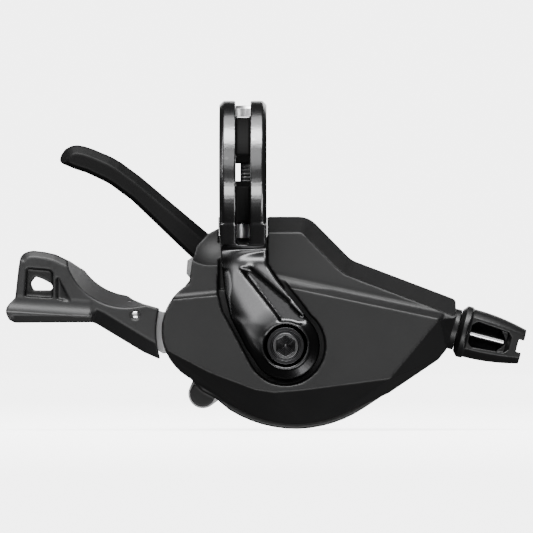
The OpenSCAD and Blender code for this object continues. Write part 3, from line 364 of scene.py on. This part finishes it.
for name, cell, passes, keep in (
        ("front_cover", 0.22, 5, 0.45), ("base_cap", 0.28, 4, 0.5), ("main_lever_pad", 0.22, 14, 0.6),
        ("release_lever_pad", 0.18, 20, 0.6), ("adjuster_knob", 0.12, 5, 0.6), ("adjuster_neck", 0.14, 5, 0.5)):
    moulded_edges(name, cell, passes, keep)
bpy.data.objects["soft_main_lever_pad"].data.materials[0] = finishes["thumb_plastic"]
band = moulded_edges("clamp_band", 0.2, 8)
crease_arm(band)
smooth_arm(band)


# Bolts, pin and painted-shade sheets

upright = (0.0, 0.0, 0.0)
facing_front = (math.radians(90.0), 0.0, 0.0)


def disc(name, corners, radius, place, turn):
    """A flat round face to build on, its radius and place in metres."""
    bpy.ops.object.select_all(action="DESELECT")
    bpy.ops.mesh.primitive_circle_add(vertices=corners, radius=radius, fill_type="NGON",
                                      location=place, rotation=turn)
    piece = bpy.context.object
    piece.name = name
    bpy.ops.object.transform_apply(location=True, rotation=True)
    return piece


def edit_faces():
    bpy.ops.object.mode_set(mode="EDIT")
    bpy.ops.mesh.select_mode(type="FACE")
    bpy.ops.mesh.select_all(action="SELECT")


def end_edit():
    """All faces turned outwards, and back to object mode."""
    bpy.ops.mesh.select_all(action="SELECT")
    bpy.ops.mesh.normals_make_consistent(inside=False)
    bpy.ops.object.mode_set(mode="OBJECT")


def face_middle():
    data = bmesh.from_edit_mesh(bpy.context.edit_object.data)
    picked = [v.co for v in data.verts if v.select]
    return sum(picked, Vector()) / len(picked)


def step(radius_now, radius, travel):
    """The selected face goes on along its axis, and out or in to a new radius."""
    bpy.ops.mesh.extrude_region_move(TRANSFORM_OT_translate={"value": Vector(travel) * MM})
    share = radius / radius_now
    bpy.ops.transform.resize(value=(share, share, share), center_override=face_middle())


def climb(steps, along):
    """From the first radius on, each step takes the face to a new radius by a travel along the axis."""
    for (radius_now, _), (radius, travel) in zip(steps, steps[1:]):
        step(radius_now, radius, Vector(along) * travel)


def sink_hexagon(piece, turn, along, depth):
    """The selected end face is opened, and a hexagon with a pointed floor sunk in it."""
    tip, tip_depth = 0.3, 0.75 * hexagon_corner
    middle = face_middle()
    bpy.ops.mesh.delete(type="ONLY_FACE")
    bpy.ops.mesh.primitive_circle_add(vertices=6, radius=hexagon_corner * MM, fill_type="NGON",
                                      location=middle, rotation=turn)
    step(hexagon_corner, hexagon_corner, Vector(along) * -depth)
    step(hexagon_corner, tip, Vector(along) * -tip_depth)
    shape = bmesh.from_edit_mesh(piece.data)
    for face in shape.faces:
        face.select_set(len(face.verts) == 6 and (face.calc_center_median() - middle).length < 0.01 * MM)
    bmesh.update_edit_mesh(piece.data)
    bpy.ops.mesh.delete(type="ONLY_FACE")
    bpy.ops.mesh.select_mode(type="EDGE")
    bpy.ops.mesh.select_all(action="DESELECT")
    bpy.ops.mesh.select_non_manifold(extend=False)
    bpy.ops.mesh.bridge_edge_loops()


def bolt(name, start, turn, along, steps, hexagon_depth, stands_for, finish):
    """A bolt turned from its plain end up to its head, with a hexagon sunk in it."""
    piece = disc(name, 64, steps[0][0] * MM, Vector(start) * MM, turn)
    edit_faces()
    climb(steps, along)
    sink_hexagon(piece, turn, along, hexagon_depth)
    end_edit()
    apply(piece, "BEVEL", width=0.07 * MM, segments=2, limit_method="ANGLE", angle_limit=math.radians(28.0),
          use_clamp_overlap=True, harden_normals=True)
    bpy.ops.object.shade_smooth_by_angle(angle=math.radians(14.0))
    piece.data.materials.append(finishes[finish])
    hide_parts(stands_for)
    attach(piece, rides[stands_for])


def boss_bolt():
    """The bolt in the arm's boss: its shank, its head, and a lower rim about a raised ring."""
    shank, head, rim, ring = 2.5, 4.05, 3.2, 2.65
    steps = [(shank - 0.2, 0.0), (shank, 0.25), (shank, 6.05),
             (head - 0.2, 0.0), (head, 0.15), (head, 2.6), (head - 0.2, 0.25), (rim, 0.0),
             (rim - 0.15, -0.3), (ring + 0.2, 0.0), (ring, 0.22), (ring - 0.1, 0.0)]
    bolt("boss_bolt", (boss_x, 2.7, boss_z), facing_front, (0.0, -1.0, 0.0), steps, 1.9,
         "mounting_bolt", "black_steel")


def band_bolt():
    """The bolt across the band's split: its thick lower end, its shank and its tall head."""
    shank, low_end, head = 1.95, 2.9, 3.6
    steps = [(low_end - 1.0, 0.0), (low_end, 0.9), (low_end, 6.2), (shank, 0.5), (shank, 13.2), (head, 0.0),
             (head, 8.3), (head - 0.5, 0.6), (head - 1.2, 0.0)]
    bolt("band_bolt", (1.35, 16.3, -15.5), upright, (0.0, 0.0, 1.0), steps, 2.4, "clamp_bolt", "clamp_steel")


def peep_pin():
    """The domed steel pin that shows in the small hole of the release lever's pad."""
    steps = ((0.7, 0.0), (0.92, 0.2), (0.92, 3.6), (0.78, 0.16), (0.5, 0.12), (0.2, 0.05))
    piece = disc("peep_pin", 40, steps[0][0] * MM, Vector((-22.8, 3.4, -30.3)) * MM, facing_front)
    edit_faces()
    climb(steps, (0.0, -1.0, 0.0))
    end_edit()
    bpy.ops.object.shade_smooth_by_angle(angle=math.radians(40.0))
    piece.data.materials.append(finishes["bright_steel"])
    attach(piece, rides["release_lever_pad"])


def slit_shade_sheet(name, side):
    """A thin black sheet that closes the slit between the band and the cover, standing in for the shade there
    as painted shade.
    """
    thick, deep, front_y = 0.16, 0.6, -7.2
    middle = Vector((side * 5.1, 0.0, -9.7)) * MM
    bpy.ops.object.select_all(action="DESELECT")
    bpy.ops.mesh.primitive_plane_add(size=1.0, location=middle)
    piece = bpy.context.object
    piece.name = name
    piece.scale = (thick * MM, 1.0, 1.0)
    bpy.ops.object.transform_apply(location=True, rotation=True, scale=True)
    edit_faces()
    bpy.ops.transform.resize(value=(1.0, deep * MM, 1.0), center_override=middle)
    bpy.ops.transform.translate(value=(0.0, front_y * MM, 0.0))
    for travel in ((0.0, 2.0, -2.3), (0.0, 1.7, -2.3)):
        bpy.ops.mesh.extrude_region_move(TRANSFORM_OT_translate={"value": Vector(travel) * MM})
    end_edit()
    piece.data.materials.append(finishes["cap_plastic"])
    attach(piece, "housing")


boss_bolt()
band_bolt()
peep_pin()
# Black sheets in the slits beside the band: painted shade.
slit_shade_sheet("slit_shade_sheet_left", -1)
slit_shade_sheet("slit_shade_sheet_right", 1)


# Studio

white_glow = 5.0


def paper(name, near=0.0):
    """White paper that stays white where little light falls, and takes a soft shadow near the shifter."""
    shadow_reach, catch, own_light = (420.0, 60.0), (2.6, 2.6, 2.6), (0.84, 0.84, 0.84)
    finish = Finish(name)
    x, y, _ = finish.axes()
    close = (x * x + y * y).power(0.5).ramp(*shadow_reach) * near
    finish.surface(finish.mix(close, (0.0, 0.0, 0.0), catch), 1.0, Emission_Strength=white_glow)
    finish.put(finish.shader.inputs["Emission Color"], finish.mix(close, (1.0, 1.0, 1.0), own_light))
    return finish.material


def camera_only(piece):
    """The piece shows to the camera, and neither lights nor shades the shifter."""
    piece.visible_diffuse = piece.visible_glossy = piece.visible_transmission = False
    piece.visible_volume_scatter = piece.visible_shadow = False


def floor():
    radius, under = 4.0, 0.05 * MM
    low = min(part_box(n)[0].z for n in nodes)
    piece = disc("floor", 96, radius, (0.0, 0.0, low - under), upright)
    piece.data.materials.append(paper("floor_paper", 1.0))
    camera_only(piece)


def backdrop():
    bpy.ops.object.select_all(action="DESELECT")
    bpy.ops.mesh.primitive_ico_sphere_add(subdivisions=4, radius=4.2)
    piece = bpy.context.object
    piece.name = "backdrop"
    bpy.ops.object.mode_set(mode="EDIT")
    bpy.ops.mesh.select_all(action="SELECT")
    bpy.ops.mesh.flip_normals()
    bpy.ops.object.mode_set(mode="OBJECT")
    piece.data.materials.append(paper("backdrop_paper"))
    camera_only(piece)


def lamp(name, turn, rise, size, power, gloss_only=False):
    """A soft box a metre off, aimed at the shifter from so many degrees right of the camera and up."""
    turn, rise = math.radians(turn), math.radians(rise)
    middle = Vector((0.0, 0.0, -0.02))
    aside, ahead = math.sin(turn) * math.cos(rise), math.cos(turn) * math.cos(rise)
    place = middle + Vector((aside, -ahead, math.sin(rise)))
    data = bpy.data.lights.new(name, "AREA")
    data.shape, data.size, data.size_y, data.energy = "RECTANGLE", size[0], size[1], power
    made = bpy.data.objects.new(name, data)
    bpy.context.scene.collection.objects.link(made)
    made.location = place
    made.rotation_euler = (middle - place).to_track_quat("-Z", "Y").to_euler()
    made.visible_camera = False
    made.visible_diffuse = not gloss_only


def studio():
    floor()
    backdrop()
    lamp("front_box", -12.0, 22.0, (1.1, 0.5), 3.8)
    lamp("overhead", 0.0, 84.0, (0.9, 0.6), 6.0)
    lamp("top_gleam", 0.0, 60.0, (0.9, 0.45), 26.0, gloss_only=True)
    lamp("low_gleam", 0.0, -30.0, (0.8, 0.3), 8.0, gloss_only=True)
    lamp("rear_box", 170.0, 12.0, (0.9, 0.5), 4.0)
    lamp("left_gleam", -78.0, 20.0, (0.2, 0.8), 3.0)
    lamp("right_gleam", 55.0, -45.0, (0.4, 0.5), 4.0)
    world = bpy.data.worlds.new("studio")
    world.use_nodes = True
    world.node_tree.nodes["Background"].inputs["Color"].default_value = (1.0, 1.0, 1.0, 1.0)
    world.node_tree.nodes["Background"].inputs["Strength"].default_value = 0.06
    bpy.context.scene.world = world


def camera():
    """A long lens straight in front, its view as wide as the photograph's."""
    reach, view_width = 2.0, 112.7 * MM
    middle_x, middle_z = 4.97 * MM, -20.08 * MM
    data = bpy.data.cameras.new("camera")
    data.sensor_width = 36.0
    data.lens = data.sensor_width * reach / view_width
    data.clip_end = 20.0
    made = bpy.data.objects.new("camera", data)
    bpy.context.scene.collection.objects.link(made)
    made.location = (middle_x, -reach, middle_z)
    made.rotation_euler = facing_front
    bpy.context.scene.camera = made


studio()
camera()
